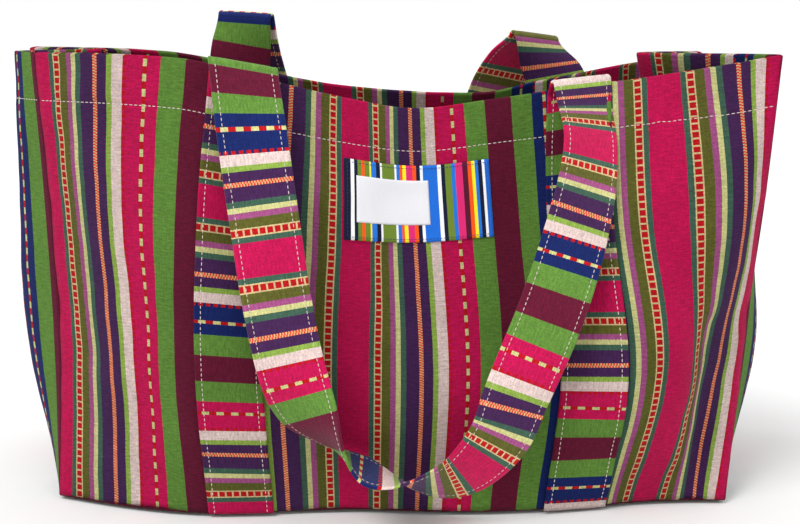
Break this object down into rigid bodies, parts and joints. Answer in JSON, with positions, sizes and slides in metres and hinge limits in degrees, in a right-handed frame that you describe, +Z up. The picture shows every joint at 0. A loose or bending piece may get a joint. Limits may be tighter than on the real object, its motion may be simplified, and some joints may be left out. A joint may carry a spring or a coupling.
{
  "type": "canvas tote bag",
  "caption": "Open-topped striped canvas shopper with sewn side gussets, a flat base, long sewn-on webbing handles and a blank patch label.",
  "frame": {"origin": "near the middle of the flat underside of the base, on the surface that the bag stands on", "axes": "+X to the right along the front panel, +Y from the front panel to the back panel, +Z up"},
  "size_m": [0.572, 0.2581, 0.3596],
  "materials": {
    "striped_canvas": "matt plain-weave cotton canvas with woven multicoloured stripes",
    "base_canvas": "matt plain-weave cotton canvas, mostly green",
    "strap_canvas": "matt canvas strap, folded double, with cross stripes and stitched edges",
    "label_canvas": "satin-woven striped patch",
    "label_tape": "smooth blank white woven tape",
    "stitching": "pale cotton thread"
  },
  "bodies": {
    "bag": {"front_panel": "striped_canvas", "back_panel": "striped_canvas", "left_gusset": "striped_canvas", "right_gusset": "striped_canvas", "base_panel": "base_canvas", "front_strap_left": "strap_canvas", "front_strap_right": "strap_canvas", "back_strap_left": "strap_canvas", "back_strap_right": "strap_canvas", "label_patch": "label_canvas", "label_tag": "label_tape"},
    "front_handle": {"front_handle_loop": "strap_canvas"},
    "back_handle": {"back_handle_loop": "strap_canvas"}
  },
  "joints": [
    {"name": "front_handle_swing", "type": "hinge", "parent": "bag", "child": "front_handle", "pos_m": [0.128, -0.077, 0.3095], "axis": [-0.9858, -0.1615, 0.0467], "range_deg": [0, 180]},
    {"name": "back_handle_swing", "type": "hinge", "parent": "bag", "child": "back_handle", "pos_m": [-0.12, 0.018, 0.358], "axis": [0.9948, 0.0745, -0.0701], "range_deg": [0, 172]}
  ]
}
